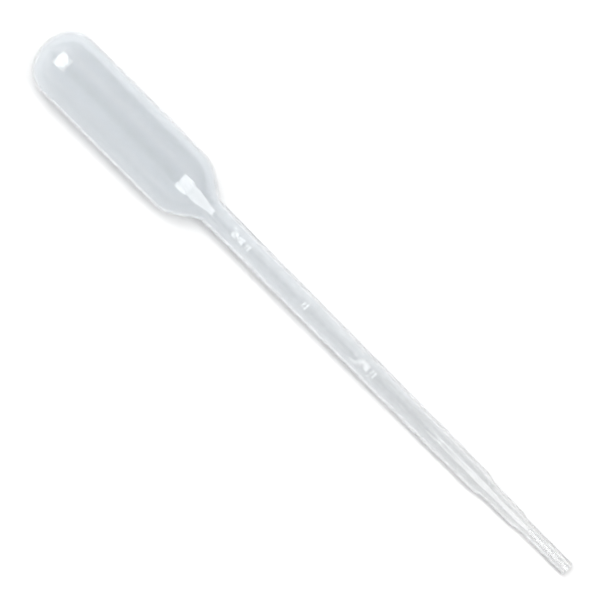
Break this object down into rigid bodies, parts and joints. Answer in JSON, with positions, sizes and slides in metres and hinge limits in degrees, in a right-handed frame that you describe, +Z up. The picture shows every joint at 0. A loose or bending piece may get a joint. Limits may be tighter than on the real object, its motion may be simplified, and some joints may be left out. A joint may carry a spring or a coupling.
{
  "type": "plastic dropper pipette",
  "caption": "Soft plastic dropper pipette, moulded in one piece: closed squeeze bulb, long graduated stem and a fine stepped open tip, for moving small amounts of liquid.",
  "frame": {"origin": "centre of the bounding box's bottom, on the surface that the pipette lies on", "axes": "+X from the closed bulb towards the open tip, +Z up; the marks face up, turned 5 degrees towards +Y; the pipette rests on its bulb's shoulder and its tip, so its own axis lies in the XZ plane and falls 2.98 degrees from +X towards the tip"},
  "size_m": [0.1499, 0.0146, 0.0163],
  "materials": {
    "polyethylene": "milky translucent low-density polyethylene, smooth from the mould"
  },
  "bodies": {
    "root": {"pipette": "polyethylene"}
  },
  "joints": []
}
